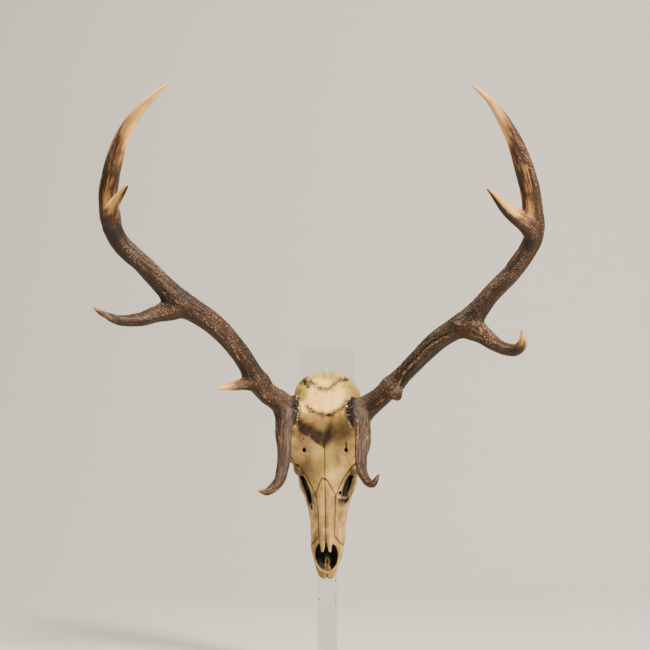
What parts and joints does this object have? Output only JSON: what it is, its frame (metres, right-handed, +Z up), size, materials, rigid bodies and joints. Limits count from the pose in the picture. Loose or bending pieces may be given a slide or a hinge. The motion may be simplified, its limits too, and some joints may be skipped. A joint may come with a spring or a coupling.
{
  "type": "pair of red deer antlers",
  "caption": "Pair of branched red deer antlers grown on the stag's upper skull, held nose down by a clear back plate on a flat foot.",
  "frame": {"origin": "middle of the foot's flat underside", "axes": "+Z up, from the foot to the antler tips; the skull faces -Y and hangs nose down; +X is the animal's left side"},
  "size_m": [0.7872, 0.5548, 1.0655],
  "materials": {
    "bone": "dry cleaned bone, cream on the brow, tan on the face, brown in its seams and hollows",
    "enamel": "stained tooth enamel, half gloss",
    "antler": "pearled dark brown antler, rubbed to ivory on the tips",
    "clear": "clear polished acrylic",
    "wire": "bright steel wire"
  },
  "bodies": {
    "root": {"skull": "bone", "right_premolar_1": "enamel", "right_premolar_2": "enamel", "right_premolar_3": "enamel", "right_molar_1": "enamel", "right_molar_2": "enamel", "right_molar_3": "enamel", "left_premolar_1": "enamel", "left_premolar_2": "enamel", "left_premolar_3": "enamel", "left_molar_1": "enamel", "left_molar_2": "enamel", "left_molar_3": "enamel", "right_antler_beam": "antler", "right_antler_top_tine": "antler", "right_antler_brow_tine": "antler", "right_antler_bez_tine": "antler", "right_antler_trez_tine": "antler", "right_antler_crown_tine": "antler", "left_antler_beam": "antler", "left_antler_top_tine": "antler", "left_antler_brow_tine": "antler", "left_antler_trez_tine": "antler", "left_antler_crown_tine": "antler", "back_plate": "clear", "foot": "clear", "wire_hook": "wire"}
  },
  "joints": []
}
